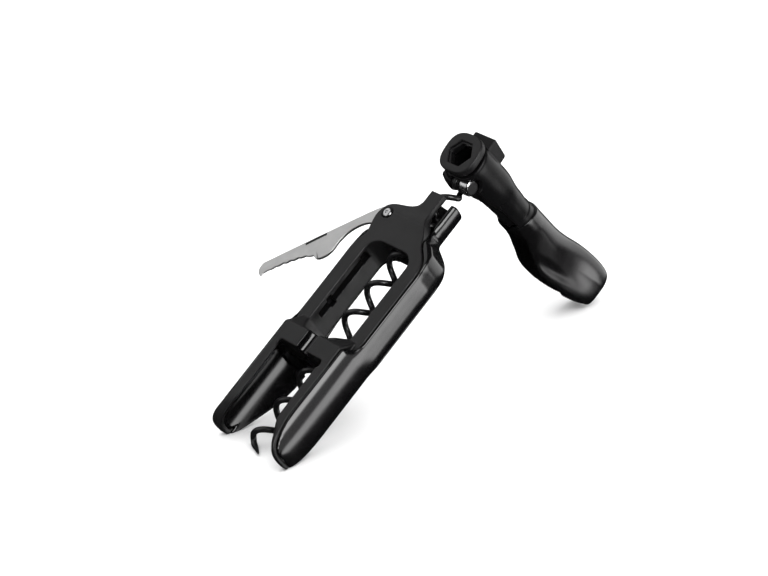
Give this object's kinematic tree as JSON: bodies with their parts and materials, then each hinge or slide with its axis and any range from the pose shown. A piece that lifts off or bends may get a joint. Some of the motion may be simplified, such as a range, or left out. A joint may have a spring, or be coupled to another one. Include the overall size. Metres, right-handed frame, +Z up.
{
  "type": "pocket corkscrew",
  "caption": "Folding pocket corkscrew: legged frame that stands on a bottle neck, long wire worm with folding T-handle, fold-out serrated foil blade.",
  "frame": {"origin": "centre of the footprint on the table, at table height", "axes": "+Z up; +Y from the leg tips towards the end of the handle; +X to the side away from the foil blade. The object lies on its two leg tips and the end of the grip, with its front face up."},
  "size_m": [0.071, 0.1888, 0.0933],
  "materials": {
    "matte_black": "finely textured black moulding",
    "gloss_black": "polished black moulding",
    "coated_wire": "smooth black low-friction coating on steel wire",
    "blade_steel": "satin stainless steel, brushed across the blade",
    "bright_steel": "turned bright steel",
    "bush_plastic": "smooth black acetal"
  },
  "bodies": {
    "frame": {"front_frame": "matte_black", "rear_shell": "gloss_black", "blade_rivet": "bright_steel", "blade_washer_front": "bright_steel", "blade_washer_rear": "bright_steel", "frame_screw_1": "bright_steel", "frame_screw_2": "bright_steel", "frame_screw_3": "bright_steel", "frame_screw_4": "bright_steel"},
    "guide": {"guide_bush": "bush_plastic"},
    "worm": {"worm": "coated_wire"},
    "handle": {"handle_core": "matte_black", "head_end_cap": "matte_black", "pivot_pin": "bright_steel", "eye_washer_left": "bush_plastic", "eye_washer_right": "bush_plastic", "grip_sleeve": "gloss_black"},
    "blade": {"foil_blade": "blade_steel"}
  },
  "joints": [
    {"name": "blade_fold", "type": "hinge", "parent": "frame", "child": "blade", "pos_m": [0.0031, -0.00874, 0.06349], "axis": [0, 0.5828, -0.8126], "range_deg": [-37, 60]},
    {"name": "worm_spin", "type": "hinge", "parent": "frame", "child": "guide", "pos_m": [0.0163, -0.05523, 0.02553], "axis": [0, 0.8126, 0.5828], "range_deg": [-180, 180]},
    {"name": "worm_slide", "type": "slide", "parent": "guide", "child": "worm", "axis": [0, 0.8126, 0.5828], "range_m": [0, 0.06]},
    {"name": "handle_fold", "type": "hinge", "parent": "worm", "child": "handle", "pos_m": [0.0163, 0.0142, 0.07533], "axis": [1, 0, 0], "range_deg": [-50, 23]}
  ]
}
